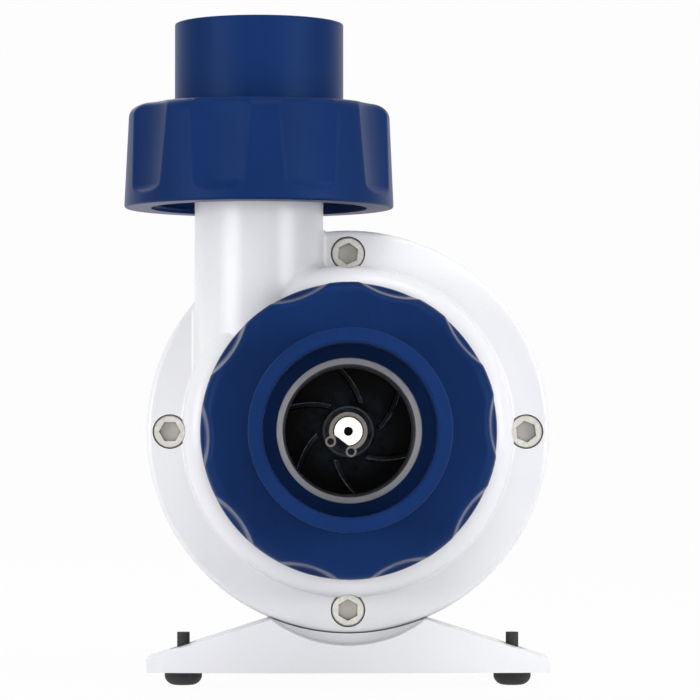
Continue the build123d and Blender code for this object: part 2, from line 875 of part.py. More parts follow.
def wing_top(x):
    """Height of the front foot's sloping top at a distance from the middle."""
    return foot_end_height - foot_base + (foot_width / 2 - abs(x)) * wing_slope


def make_front_foot():
    """Bracket under the casing: sloping wings, a scooped front edge and slanting facets."""
    half = foot_width / 2
    low = -foot_base
    peak = low + foot_peak_height
    outline = Polyline(
        (-half, low),
        (half, low),
        (half, low + foot_end_height),
        (foot_peak_offset, peak),
        (foot_peak_offset - casing_front, peak + casing_front),
        (casing_front - foot_peak_offset, peak + casing_front),
        (-foot_peak_offset, peak),
        (-half, low + foot_end_height),
        close=True,
    )
    body = Pos(0, foot_front + foot_depth, 0) * Rot(90, 0, 0) * extrude(make_face(outline), foot_depth)
    body -= rod(casing_radius, casing_front, foot_front + foot_depth)
    scoop_low = low + foot_scoop_height
    body -= rod(foot_scoop_radius, foot_front, casing_front, 0, scoop_low + foot_scoop_radius)
    lean = degrees(atan2(facet_top_offset - facet_foot_offset, facet_top_height))
    for side in (-1, 1):
        edge = Pos(side * facet_foot_offset, foot_front, low) * Rot(0, side * lean, 0)
        wedge = edge * Rot(0, 0, side * facet_angle) * Pos(side * half, -foot_depth / 2, 0)
        body -= wedge * Box(2 * half, foot_depth, 4 * foot_peak_height)
    for hole in foot_screw_holes(peak, foot_screw_spread, foot_middle):
        body -= hole
    for side in (-1, 1):
        body -= rubber_foot_hole(side * rubber_foot_spread, foot_middle, wing_top(rubber_foot_spread))
    return body


def rear_wing_top(x):
    """Height of the rear foot's low wings at a distance from the middle."""
    half = rear_foot_width / 2
    slope = (rear_foot_peak - rear_foot_end_height) / (half - rear_foot_column / 2)
    return rear_foot_end_height - foot_base + (half - abs(x)) * slope


def make_rear_foot():
    """Low bracket under the motor: a middle block with thin wings."""
    half = rear_foot_width / 2
    column = rear_foot_column / 2
    low = -foot_base
    seat = -(barrel_radius + foot_pad_drop)
    outline = Polyline(
        (-half, low),
        (half, low),
        (half, low + rear_foot_end_height),
        (column, low + rear_foot_peak),
        (column, seat),
        (-column, seat),
        (-column, low + rear_foot_peak),
        (-half, low + rear_foot_end_height),
        close=True,
    )
    end = rear_foot_start + rear_foot_depth
    body = Pos(0, end, 0) * Rot(90, 0, 0) * extrude(make_face(outline), rear_foot_depth)
    for hole in foot_screw_holes(seat, foot_screw_spread, rear_foot_middle):
        body -= hole
    for side in (-1, 1):
        top = rear_wing_top(rear_rubber_spread)
        body -= rubber_foot_hole(side * rear_rubber_spread, rear_foot_middle, top)
    return body


def make_foot_screws():
    """Screws of both feet, put in from below."""
    head_height = foot_screw[1]
    screws = []
    for station, top in ((foot_middle, front_screw_top), (rear_foot_middle, rear_screw_top)):
        length = top + foot_base - 2 * head_height
        screw = Rot(180, 0, 0) * socket_screw(foot_screw, length)
        screws += [Pos(side * foot_screw_spread, station, -foot_base) * screw for side in (-1, 1)]
    return Compound(screws)


def rubber_feet(spread, station, top, rise):
    """A pair of domed rubber feet with a stem and a barb that holds them in the bracket."""
    sole = floor_height
    crown = ThreePointArc(
        (rubber_sole_radius, sole),
        ((rubber_sole_radius + rubber_dome_radius) / 2 + rubber_sole_radius / 4, sole + rubber_rim / 3),
        (rubber_dome_radius, -foot_base - rubber_rim),
    )
    outline = [
        Line((0, sole), (rubber_sole_radius, sole)),
        crown,
        Polyline(crown @ 1, (rubber_dome_radius, -foot_base), (0, -foot_base), (0, sole)),
    ]
    dome = revolve(Plane.XZ * make_face(outline), Axis.Z, 360)
    stem = post(rubber_stem_radius, -foot_base, top + rise)
    barb_low = top - rubber_pocket_depth
    barb = post(rubber_barb_radius, barb_low, barb_low + rubber_barb_height)
    foot = dome + stem + barb
    return Compound([Pos(side * spread, station, 0) * foot for side in (-1, 1)])


def make_nodes():
    """Every sub-part by its node name."""
    plate_seal_station = casing_rear - plate_seal_inset
    rear_bearing_start = rear_bearing_end - rear_bearing_length
    inlet_tube = inlet_socket_radius + inlet_socket_wall
    outlet_tube = outlet_socket_radius + outlet_socket_wall
    return {
        "volute_casing": make_volute_casing(),
        "casing_screws": make_casing_screws(),
        "casing_seal": ring_seal(
            plate_seat_radius - plate_seal_section, plate_seal_section, plate_seal_station
        ),
        "inlet_socket": inlet_place
        * union_tail(
            inlet_socket_radius,
            inlet_socket_wall,
            inlet_socket_depth,
            inlet_tail_passage,
            inlet_tail_ledge,
        ),
        "inlet_union_nut": inlet_place
        * union_nut(
            inlet_nut_radius,
            inlet_nut_taper,
            inlet_tube + nut_lip_gap,
            inlet_flutes,
            inlet_flute_phase,
            inlet_flute_angle,
        ),
        "inlet_seal": inlet_place * union_seal(),
        "outlet_socket": outlet_place
        * union_tail(
            outlet_socket_radius,
            outlet_socket_wall,
            outlet_socket_depth,
            outlet_bore_radius,
            outlet_tail_ledge,
        ),
        "outlet_union_nut": outlet_place
        * union_nut(
            outlet_nut_radius,
            outlet_nut_taper,
            outlet_tube + nut_lip_gap,
            outlet_flutes,
            outlet_flute_phase,
            outlet_flute_angle,
        ),
        "outlet_seal": outlet_place * union_seal(),
        "impeller": make_impeller(),
        "shaft": make_shaft(),
        "shaft_circlip": make_shaft_circlip(),
        "rotor_magnet": make_rotor_magnet(),
        "bearing_plate": make_bearing_plate(),
        "front_bearing": bush(bearing_radius, front_bearing_start, front_bearing_end),
        "rear_bearing": bush(bearing_radius, rear_bearing_start, rear_bearing_end),
        "thrust_washers": make_thrust_washers(),
        "rotor_can": make_rotor_can(),
        "can_seal": ring_seal(can_seal_radius, can_seal_section, casing_rear - can_seal_section),
        "stator_core": make_stator_core(),
        "stator_windings": make_stator_windings(),
        "motor_housing": make_motor_housing(),
        "rear_cap": make_rear_cap(),
        "rear_cap_seal": ring_seal(
            barrel_bore - cap_seal_section, cap_seal_section, housing_end - cap_spigot / 2
        ),
        "rear_cap_screws": make_rear_cap_screws(),
        "gland_body": make_gland_body(),
        "gland_washer": make_gland_washer(),
        "gland_insert": make_gland_insert(),
        "gland_nut": make_gland_nut(),
        "front_foot": make_front_foot(),
        "rear_foot": make_rear_foot(),
        "foot_screws": make_foot_screws(),
        "front_rubber_feet": rubber_feet(
            rubber_foot_spread, foot_middle, wing_top(rubber_foot_spread), rubber_stem_rise
        ),
        "rear_rubber_feet": rubber_feet(
            rear_rubber_spread, rear_foot_middle, rear_wing_top(rear_rubber_spread), rear_stem_rise
        ),
    }


def footprint_shift():
    """Move from the shaft's frame to the middle of the footprint on the floor."""
    left = -outlet_offset - outlet_nut_radius
    right = casing_radius
    front = -(inlet_collar_end + tail_flange + inlet_tail_ledge + inlet_socket_depth)
    rear = cap_top + gland_washer_thickness + gland_collar + loose_gap + gland_nut_height
    return Pos(-(left + right) / 2, -(front + rear) / 2, -floor_height)


os.makedirs("parts", exist_ok=True)
shift = footprint_shift()
for name, shape in make_nodes().items():
    export_step(shift * shape, f"parts/{name}.step")
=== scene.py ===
"""Finishes, threads and studio for the aquarium pump, laid out as an add-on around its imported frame."""

import json
import math

import bmesh
import bpy
from mathutils import Matrix, Vector


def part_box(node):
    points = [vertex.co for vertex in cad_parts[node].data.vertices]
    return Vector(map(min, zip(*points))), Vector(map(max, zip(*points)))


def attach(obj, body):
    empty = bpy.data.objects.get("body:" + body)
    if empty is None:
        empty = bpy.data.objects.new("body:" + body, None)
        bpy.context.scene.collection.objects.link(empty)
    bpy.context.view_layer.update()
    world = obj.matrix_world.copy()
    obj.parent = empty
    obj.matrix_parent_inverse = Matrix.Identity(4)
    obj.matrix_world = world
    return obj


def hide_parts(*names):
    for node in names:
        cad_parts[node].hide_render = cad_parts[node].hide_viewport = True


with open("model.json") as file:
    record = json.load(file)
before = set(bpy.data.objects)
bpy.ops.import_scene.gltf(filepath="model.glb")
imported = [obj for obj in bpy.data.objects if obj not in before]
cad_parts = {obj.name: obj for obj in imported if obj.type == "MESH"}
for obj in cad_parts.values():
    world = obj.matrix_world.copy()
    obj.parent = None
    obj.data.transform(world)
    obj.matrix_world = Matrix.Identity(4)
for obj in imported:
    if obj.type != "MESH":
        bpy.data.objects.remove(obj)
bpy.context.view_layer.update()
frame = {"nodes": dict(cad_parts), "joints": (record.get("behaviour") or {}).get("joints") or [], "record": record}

bl_info = {
    "name": "Aquarium pump finishes",
    "version": (1, 0, 0),
    "blender": (4, 5, 0),
    "location": "3D View > Sidebar > Pump",
    "description": "Finishes, screw threads and a small studio for an aquarium pump",
    "category": "Object",
}

MM = 0.001

# Where the photograph was taken from, against the shaft and the outlet's axis
CAMERA_LEFT = 9.2 * MM
CAMERA_BELOW = 6.5 * MM
CAMERA_DISTANCE = 1103 * MM
FOCAL_PIXELS = 3600
IMAGE_PIXELS = 700
AIM_RIGHT_PIXELS = 32
AIM_UP_PIXELS = 102.8
SENSOR_WIDTH = 36

# Sizes of the wet end that the frame holds only as shapes
THROAT_RADIUS = 19.75 * MM
SHAFT_HOLE_RADIUS = 1.35 * MM
HUB_RADIUS = 8.2 * MM
BLADE_START = 9.4 * MM
NUT_BORE = 33.15 * MM
COLLAR_FOOT = 31.3 * MM

# How much further back the blades sweep than in the frame, in degrees for each unit of the
# logarithm of the radius
BLADE_TWIST = 14.5

# Ridge of a thread: steps in a turn, turns over which it runs out, its least height as a share,
# the width of its crest against its foot, and how deep its foot lies in the nut's wall
THREAD_STEPS = 96
THREAD_RUN_OUT = 0.25
THREAD_LEAST = 0.02
THREAD_CREST_SHARE = 0.3
THREAD_SINK = 0.1 * MM

# Turns left plain: at the mouth of a collar, at the rear of a nut, and on each collar from
# the nut's rear
COLLAR_MOUTH_PLAIN = 0.8
NUT_REAR_PLAIN = 0.5
INLET_FOOT_PLAIN = 1.0
OUTLET_FOOT_PLAIN = 2.7

# Edges: rounding of the small pieces, and the angles in degrees above which an edge stays sharp
BLADE_ROUND = 0.16 * MM
RING_ROUND = 0.08 * MM
SCREW_ROUND = 0.1 * MM
GLAND_ROUND = 0.3 * MM
ROUND_STEPS = 2
WELD_DISTANCE = 0.001 * MM
SHARP_ANGLE = 32
THREAD_SHARP_ANGLE = 35

# Studio: how far the camera sees the paper as plain white, the strength of the soft light all
# round, and what is mirrored from in front of the pump
PAPER_GLOW = 0.955
SOFT_LIGHT = 0.5
FRONT_MIRRORED = 0.2

# Places read from the frame
JOINTS = {joint["name"]: joint for joint in frame["joints"]}
SHAFT = Vector(JOINTS["rotor_spin"]["pos_m"])
OUTLET = Vector(JOINTS["outlet_nut_turn"]["pos_m"])
RATIOS = {c["joint"]: c["ratio"] for c in frame["record"]["behaviour"]["couplings"]}
THREAD_PITCH = RATIOS["inlet_tail_slide"] * 2 * math.pi


def linear(colour):
    """An sRGB colour as the linear values, with alpha, that the shader nodes take."""
    channels = [c / 12.92 if c <= 0.04045 else ((c + 0.055) / 1.055) ** 2.4 for c in colour]
    return (*channels, 1.0)


class PumpColours(bpy.types.PropertyGroup):
    """Colours of the finishes."""

    white: bpy.props.FloatVectorProperty(
        name="White plastic",
        description="Casing with its threads, motor housing, rear cap and brackets",
        subtype="COLOR_GAMMA",
        min=0,
        max=1,
        default=(0.945, 0.945, 0.953),
    )
    blue: bpy.props.FloatVectorProperty(
        name="Blue plastic",
        description="Pipe sockets, and union nuts with their threads",
        subtype="COLOR_GAMMA",
        min=0,
        max=1,
        default=(0.075, 0.175, 0.365),
    )
    black: bpy.props.FloatVectorProperty(
        name="Black plastic",
        description="Impeller, bearing plate, rotor can and cable gland",
        subtype="COLOR_GAMMA",
        min=0,
        max=1,
        default=(0.075, 0.08, 0.088),
    )
    steel: bpy.props.FloatVectorProperty(
        name="Steel",
        description="Shaft and screws",
        subtype="COLOR_GAMMA",
        min=0,
        max=1,
        default=(0.80, 0.79, 0.76),
    )
    rubber: bpy.props.FloatVectorProperty(
        name="Rubber",
        description="Seals, feet, and the washer and insert of the gland",
        subtype="COLOR_GAMMA",
        min=0,
        max=1,
        default=(0.19, 0.19, 0.19),
    )


class PumpSizes(bpy.types.PropertyGroup):
    """Sizes of the detail that is added to the frame."""

    edge_round: bpy.props.FloatProperty(
        name="Edge rounding",
        description="Rounding of the moulded edges",
        unit="LENGTH",
        default=0.35 * MM,
    )
    thread_depth: bpy.props.FloatProperty(
        name="Thread depth",
        description="Height of the ridges on collars and in nuts",
        unit="LENGTH",
        default=1.35 * MM,
    )
    thread_share: bpy.props.FloatProperty(
        name="Thread width",
        description="Share of the pitch that a ridge takes at its foot",
        subtype="FACTOR",
        min=0.1,
        max=0.9,
        default=0.62,
    )


class Wire:
    """A node's socket that can stand in a sum: an expression on wires adds its Math nodes."""

    def __init__(self, finish, socket):
        self.finish = finish
        self.socket = socket

    def maths(self, operation, *values):
        """A Math node on these values."""
        inputs = dict(enumerate(values))
        return self.finish.node("ShaderNodeMath", {"operation": operation}, inputs)

    def __add__(self, other):
        return self.maths("ADD", self, other)

    def __radd__(self, other):
        return self.maths("ADD", other, self)

    def __sub__(self, other):
        return self.maths("SUBTRACT", self, other)

    def __rsub__(self, other):
        return self.maths("SUBTRACT", other, self)

    def __mul__(self, other):
        return self.maths("MULTIPLY", self, other)

    def __rmul__(self, other):
        return self.maths("MULTIPLY", other, self)

    def __truediv__(self, other):
        return self.maths("DIVIDE", self, other)

    def __gt__(self, other):
        return self.maths("GREATER_THAN", self, other)

    def __lt__(self, other):
        return self.maths("LESS_THAN", self, other)

    def wave(self, rate):
        """A wave from 0 to 1 along the value, with its rate in radians."""
        return self.maths("SINE", self * rate) * 0.5 + 0.5

    def size(self):
        """The value without its sign."""
        return self.maths("ABSOLUTE", self)

    def between(self, low, high):
        """0 at low and 1 at high, smooth in between."""
        settings = {"interpolation_type": "SMOOTHSTEP"}
        inputs = {"Value": self, "From Min": low, "From Max": high}
        return self.finish.node("ShaderNodeMapRange", settings, inputs)


class Finish:
    """The nodes of one procedural material, or of the world."""

    def __init__(self, block):
        self.block = block
        block.use_nodes = True
        self.tree = block.node_tree
        self.tree.nodes.clear()

    def pick(self, sockets, key):
        """A socket by its number, its name or its identifier."""
        if isinstance(key, int):
            return sockets[key]
        for socket in sockets:
            if socket.identifier == key or socket.name == key:
                return socket
        raise KeyError(f"{self.block.name}: no socket {key}")

    def node(self, kind, settings=None, inputs=None, output=0):
        """Add a node: its settings first, then the values or links of its sockets."""
        made = self.tree.nodes.new(kind)
        for name, value in (settings or {}).items():
            setattr(made, name, value)
        for key, value in (inputs or {}).items():
            socket = self.pick(made.inputs, key)
            if isinstance(value, Wire):
                self.tree.links.new(value.socket, socket)
            else:
                socket.default_value = value
        if not made.outputs:
            return None
        return Wire(self, self.pick(made.outputs, output))

    def place(self):
        """Point on the piece in millimetres, in the pump's own frame."""
        point = self.node("ShaderNodeTexCoord", output="Object")
        inputs = {"Vector": point, "Scale": 1 / MM}
        return self.node("ShaderNodeVectorMath", {"operation": "SCALE"}, inputs)

    def parts_of(self, vector):
        """The three numbers of a vector."""
        split = self.node("ShaderNodeSeparateXYZ", inputs={"Vector": vector})
        outputs = split.socket.node.outputs
        return [Wire(self, outputs[axis]) for axis in range(3)]

    def away_from(self, centre):
        """Point seen from a centre given in metres, in millimetres."""
        offset = tuple(value / MM for value in centre)
        settings = {"operation": "SUBTRACT"}
        return self.node("ShaderNodeVectorMath", settings, {0: self.place(), 1: offset})

    def radius_about(self, centre):
        """Distance from an axis along Y through a centre given in metres, in millimetres."""
        flat = self.stretched(self.away_from(centre), (1, 0, 1))
        return self.node("ShaderNodeVectorMath", {"operation": "LENGTH"}, {0: flat}, "Value")

    def facing(self):
        """The direction that a face looks in."""
        return self.node("ShaderNodeNewGeometry", output="True Normal")

    def turning(self, centre):
        """How far a face looks along its own turn round an axis along Y, from -1 to 1."""
        point = self.node("ShaderNodeNewGeometry", output="Position")
        subtract = {"operation": "SUBTRACT"}
        arm = self.node("ShaderNodeVectorMath", subtract, {0: point, 1: tuple(centre)})
        flat = self.stretched(arm, (1, 0, 1))
        reach = self.node("ShaderNodeVectorMath", {"operation": "LENGTH"}, {0: flat}, "Value")
        cross = {"operation": "CROSS_PRODUCT"}
        turn = self.node("ShaderNodeVectorMath", cross, {0: flat, 1: self.facing()})
        return self.parts_of(turn)[1] / reach

    def occlusion_shade(self, reach, low, high):
        """Ambient occlusion as a mask for painted shade: 1 deep in a crevice and 0 in the open, for crevices of
        about a reach in millimetres.
        """
        inputs = {"Distance": reach * MM}
        free = self.node("ShaderNodeAmbientOcclusion", {"samples": 8}, inputs, "AO")
        return 1 - free.between(low, high)

    def stretched(self, vector, shares):
        """A point with its axes scaled, to draw a texture out along one of them."""
        return self.node("ShaderNodeVectorMath", {"operation": "MULTIPLY"}, {0: vector, 1: shares})

    def noise(self, vector, scale, detail=2.0, roughness=0.5):
        """Smooth noise from 0 to 1, with scale in features per millimetre."""
        inputs = {"Vector": vector, "Scale": scale, "Detail": detail, "Roughness": roughness}
        return self.node("ShaderNodeTexNoise", inputs=inputs)

    def mix(self, share, first, second):
        """One colour or the other, by a share from 0 to 1."""
        inputs = {"Factor_Float": share, "A_Color": first, "B_Color": second}
        return self.node("ShaderNodeMix", {"data_type": "RGBA"}, inputs, "Result_Color")

    def rays(self):
        """Which kind of ray looks: the camera's, a reflected or a transmitted one."""
        outputs = self.node("ShaderNodeLightPath").socket.node.outputs
        kinds = ("Is Camera Ray", "Is Glossy Ray", "Is Transmission Ray")
        return [Wire(self, outputs[kind]) for kind in kinds]

    def bump(self, height, strength, depth):
        """A normal from a height map; depth is in millimetres."""
        inputs = {"Height": height, "Strength": strength, "Distance": depth * MM}
        return self.node("ShaderNodeBump", inputs=inputs)

    def surface(self, **sockets):
        """The shader itself, by socket name, with underscores for spaces."""
        inputs = {name.replace("_", " "): value for name, value in sockets.items()}
        shader = self.node("ShaderNodeBsdfPrincipled", inputs=inputs)
        self.node("ShaderNodeOutputMaterial", inputs={"Surface": shader})
        return self.block


def new_finish(name):
    """A fresh material to build up."""
    return Finish(bpy.data.materials.new(name))


def shade(colour, factor):
    """A linear colour made lighter or darker."""
    return (*[min(1.0, value * factor) for value in colour[:3]], 1.0)


def white_plastic(name, colours, throat=False):
    """Glossy moulded white plastic: cool cast and fine orange peel, with painted shade in hollows, in narrow gaps
    and in the throat.
    """
    finish = new_finish(name)
    point = finish.place()
    cloud = finish.noise(point, scale=0.018)
    peel = finish.noise(point, scale=0.9, detail=3.0, roughness=0.55)
    grain = finish.noise(point, scale=6.0)
    # Ambient occlusion masks for painted shade: a wide one for hollows and under parts, a narrow one for narrow
    # gaps
    hollow_shade = finish.occlusion_shade(reach=35, low=0.35, high=0.9)
    gap_shade = finish.occlusion_shade(reach=1.4, low=0.2, high=0.7)
    base = linear(colours.white)
    cool = (base[0] * 0.965, base[1] * 0.965, base[2] * 0.985, 1.0)
    speckle = shade(base, 0.94)
    # Painted shade colours: dull for hollows, dark for narrow gaps
    dull = shade(base, 0.72)
    dark = shade(base, 0.3)
    # Painted shade for the throat's wall and mouth, which lie in shadow
    throat_shade = (0.55, 0.52, 0.52, 1.0)
    colour = finish.mix(cloud.between(0.35, 0.7), cool, base)
    colour = finish.mix(grain.between(0.55, 0.8) * 0.25, colour, speckle)
    # Painted shade in hollows and in narrow gaps
    colour = finish.mix(hollow_shade * 0.35, colour, dull)
    colour = finish.mix(gap_shade, colour, dark)
    # Painted shade inside the throat
    if throat:
        inside = finish.radius_about(SHAFT) < THROAT_RADIUS / MM
        colour = finish.mix(inside, colour, throat_shade)
    return finish.surface(
        Base_Color=colour,
        Roughness=0.2 + cloud * 0.08 + grain * 0.06,
        IOR=1.49,
        Specular_IOR_Level=0.5,
        Normal=finish.bump(peel + grain * 0.12, strength=0.22, depth=0.035),
    )


def blue_plastic(colours):
    """Satin blue pipe plastic: drawn streaks, slight cloudiness and a fine moulded skin."""
    finish = new_finish("union_blue")
    point = finish.place()
    drawn_out = finish.stretched(point, (1.0, 0.06, 0.06))
    cloud = finish.noise(point, scale=0.03)
    streak = finish.noise(drawn_out, scale=0.5, detail=3.0, roughness=0.6)
    grain = finish.noise(point, scale=5.0, detail=3.0)
    base = linear(colours.blue)
    deep = shade(base, 0.9)
    light = shade(base, 1.1)
    pale = shade(base, 1.22)
    blue_gloss = (0.4, 0.62, 1.0, 1.0)
    colour = finish.mix(cloud.between(0.3, 0.75), deep, light)
    colour = finish.mix(streak.between(0.45, 0.75) * 0.35, colour, pale)
    return finish.surface(
        Base_Color=colour,
        Roughness=0.3 + cloud * 0.08 + grain * 0.05,
        IOR=1.2,
        Specular_Tint=blue_gloss,
        Normal=finish.bump(streak * 0.5 + grain * 0.3, strength=0.25, depth=0.03),
    )


def black_plastic(colours):
    """Dark moulded plastic, a little grey where wear from water has marked it."""
    finish = new_finish("wet_end_black")
    point = finish.place()
    cloud = finish.noise(point, scale=0.08, detail=3.0)
    grain = finish.noise(point, scale=4.0, detail=3.0)
    base = linear(colours.black)
    greyed = shade(base, 1.6)
    return finish.surface(
        Base_Color=finish.mix(cloud.between(0.4, 0.8), base, greyed),
        Roughness=0.3 + cloud * 0.12,
        Specular_IOR_Level=0.35,
        Normal=finish.bump(grain, strength=0.3, depth=0.03),
    )


def moulded_impeller(colours):
    """Near black plastic, with a painted sheen round the hub and painted highlights on one edge of each blade and
    on the hub's rim.
    """
    finish = new_finish("impeller_black")
    point = finish.place()
    radius = finish.radius_about(SHAFT)
    cloud = finish.noise(point, scale=0.25, detail=3.0)
    grain = finish.noise(point, scale=4.0, detail=3.0)
    base = shade(linear(colours.black), 0.3)
    # Painted sheen: the bluish gloss round the hub
    hub_sheen = (0.1, 0.13, 0.185, 1.0)
    # Painted highlight for the edges that catch the light
    painted_glint = (0.9, 0.92, 0.95, 1.0)
    # Faces slanted forward, on one side of each blade and on the hub's rim, get the painted highlight
    forward = 0 - finish.parts_of(finish.facing())[1]
    slanted = forward.between(0.15, 0.3) * (1 - forward.between(0.95, 0.99))
    one_side = finish.turning(SHAFT).between(0.12, 0.3)
    blade_highlight = one_side * slanted * (radius > BLADE_START / MM)
    hub_rim_highlight = slanted * (radius < HUB_RADIUS / MM)
    near_hub = 1 - radius.between(8.0, 16.5)
    # Painted sheen round the hub, then painted highlights on the blades' edges and the hub's rim
    colour = finish.mix(near_hub * cloud.between(0.2, 0.7), base, hub_sheen)
    colour = finish.mix(blade_highlight * cloud.between(0.25, 0.65), colour, painted_glint)
    colour = finish.mix(hub_rim_highlight * 0.4, colour, painted_glint)
    return finish.surface(
        Base_Color=colour,
        Roughness=0.34 + cloud * 0.12,
        Specular_IOR_Level=0.12,
        Normal=finish.bump(grain, strength=0.3, depth=0.03),
    )


def shaft_steel(colours):
    """Bright turned steel: fine rings as a lathe leaves them, with the centre bore painted black and matte as
    shade.
    """
    finish = new_finish("shaft_steel")
    radius = finish.radius_about(SHAFT)
    rings = radius.wave(24.0)
    smear = finish.noise(finish.place(), scale=1.2, detail=3.0)
    # The centre bore is painted black and not metallic, as shade
    hole_shade = radius < SHAFT_HOLE_RADIUS / MM
    base = shade(linear(colours.steel), 1.65)
    dull = shade(base, 0.96)
    hole_shade_colour = (0.008, 0.009, 0.01, 1.0)
    metal = 0.9
    colour = finish.mix(smear.between(0.3, 0.8), dull, base)
    # Painted shade in the centre bore
    colour = finish.mix(hole_shade, colour, hole_shade_colour)
    return finish.surface(
        Base_Color=colour,
        Metallic=metal - hole_shade * metal,
        Roughness=0.16 + smear * 0.1 + rings * 0.04 + hole_shade * 0.4,
        Normal=finish.bump(rings + smear, strength=0.12, depth=0.01),
    )


def screw_steel(node, axis, outward, colours):
    """Tumbled stainless steel of a set of screws, with painted shade on the walls and floor of the hexagons and in
    narrow gaps.

    The screws lie along an axis, 0 to 2, and their heads look up it (1) or down it (-1).
    """
    finish = new_finish(node + "_steel")
    point = finish.place()
    low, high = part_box(node)
    face = (low if outward < 0 else high)[axis] / MM
    depth = (face - finish.parts_of(point)[axis]) * outward
    wall = 1 - finish.parts_of(finish.facing())[axis].size().between(0.2, 0.5)
    gap_shade = finish.occlusion_shade(reach=1.3, low=0.3, high=0.75)
    drawn_out = finish.stretched(point, (1.0, 1.0, 0.15))
    smear = finish.noise(point, scale=0.8, detail=3.0)
    scratch = finish.noise(drawn_out, scale=5.0, detail=4.0, roughness=0.7)
    base = shade(linear(colours.steel), 1.5)
    dull = shade(base, 0.85)
    # Painted shade colours for the hexagon recesses and narrow gaps
    recess_floor_shade = shade(base, 0.72)
    recess_wall_shade = shade(base, 0.3)
    dark = shade(base, 0.2)
    colour = finish.mix(smear.between(0.35, 0.75), dull, base)
    # Painted shade on the recess floor and walls, and in narrow gaps
    colour = finish.mix(depth.between(0.3, 1.0), colour, recess_floor_shade)
    colour = finish.mix(wall, colour, recess_wall_shade)
    colour = finish.mix(gap_shade * 0.7, colour, dark)
    return finish.surface(
        Base_Color=colour,
        Metallic=0.6,
        Roughness=0.3 + smear * 0.15,
        Normal=finish.bump(scratch, strength=0.25, depth=0.02),
    )


def soft_rubber(colours):
    """Matte rubber with a dusty skin."""
    finish = new_finish("soft_rubber")
    point = finish.place()
    dust = finish.noise(point, scale=0.5, detail=4.0, roughness=0.65)
    grain = finish.noise(point, scale=5.0)
    base = linear(colours.rubber)
    dusty = shade(base, 1.5)
    return finish.surface(
        Base_Color=finish.mix(dust.between(0.45, 0.85), base, dusty),
        Roughness=0.62 + dust * 0.2,
        Normal=finish.bump(dust + grain * 0.5, strength=0.3, depth=0.05),
    )


def plain_metal(name, colour, roughness, metallic):
    """A mottled metal or sintered material."""
    finish = new_finish(name)
    mottle = finish.noise(finish.place(), scale=0.7, detail=4.0)
    base = linear(colour)
    dark = shade(base, 0.8)
    light = shade(base, 1.12)
    return finish.surface(
        Base_Color=finish.mix(mottle.between(0.3, 0.75), dark, light),
        Metallic=metallic,
        Roughness=roughness + mottle * 0.1,
        Normal=finish.bump(mottle, strength=0.3, depth=0.03),
    )


def copper_wire():
    """Enamelled copper: turns of wire laid side by side along the shaft, with painted shade in the grooves between
    them.
    """
    finish = new_finish("copper_wire")
    along = finish.parts_of(finish.place())[1]
    turns = along.wave(6.0)
    base = linear((0.74, 0.42, 0.22))
    # Painted shade in the grooves between the turns
    groove_shade = shade(base, 0.55)
    return finish.surface(
        Base_Color=finish.mix(turns, groove_shade, base),
        Metallic=1.0,
        Roughness=0.3 + turns * 0.1,
        Normal=finish.bump(turns, strength=0.6, depth=0.1),
    )


def dress(piece, material, rounding=0.0):
    """Give a piece its finish, smooth its curved faces and round its edges."""
    piece.data.materials.clear()
    piece.data.materials.append(material)
    smooth(piece, SHARP_ANGLE)
    if rounding:
        weld = piece.modifiers.new("weld", "WELD")
        weld.merge_threshold = WELD_DISTANCE
        bevel = piece.modifiers.new("edge rounding", "BEVEL")
        bevel.width = rounding
        bevel.segments = ROUND_STEPS
        bevel.limit_method = "ANGLE"
        bevel.angle_limit = math.radians(SHARP_ANGLE)
        bevel.harden_normals = True


def smooth(piece, sharp):
    """Shade a mesh smooth, apart from edges sharper than an angle in degrees."""
    for polygon in piece.data.polygons:
        polygon.use_smooth = True
    made = bmesh.new()
    made.from_mesh(piece.data)
    limit = math.radians(sharp)
    marks = [edge.calc_face_angle(math.pi) > limit for edge in made.edges]
    made.free()
    attribute = piece.data.attributes.get("sharp_edge")
    if attribute is None:
        attribute = piece.data.attributes.new("sharp_edge", "BOOLEAN", "EDGE")
    attribute.data.foreach_set("value", marks)


def helix(name, radii, reach, share, phase):
    """A screw ridge round the Z axis, from foot to crest radius, tapering out at both ends of its reach."""
    foot, crest = radii
    low, high = reach
    turns = (high - low) / THREAD_PITCH
    half_foot = share * THREAD_PITCH / 2
    half_crest = half_foot * THREAD_CREST_SHARE
    made = bmesh.new()
    rows = []
    for step in range(int(THREAD_STEPS * turns) + 1):
        turn = step / THREAD_STEPS
        fade = min(1.0, turn / THREAD_RUN_OUT, (turns - turn) / THREAD_RUN_OUT)
        fade = max(fade, THREAD_LEAST)
        angle = 2 * math.pi * turn + phase
        height = low + THREAD_PITCH * turn
        top = foot + (crest - foot) * fade
        outline = [(foot, -half_foot), (top, -half_crest), (top, half_crest), (foot, half_foot)]
        rows.append(
            [made.verts.new((r * math.cos(angle), r * math.sin(angle), height + z)) for r, z in outline]
        )
    for first, second in zip(rows, rows[1:]):
        for corner in range(len(first)):
            after = (corner + 1) % len(first)
            made.faces.new((first[corner], first[after], second[after], second[corner]))
    made.faces.new(list(reversed(rows[0])))
    made.faces.new(rows[-1])
    bmesh.ops.recalc_face_normals(made, faces=made.faces)
    mesh = bpy.data.meshes.new(name)
    made.to_mesh(mesh)
    made.free()
    piece = bpy.data.objects.new(name, mesh)
    bpy.context.scene.collection.objects.link(piece)
    return piece


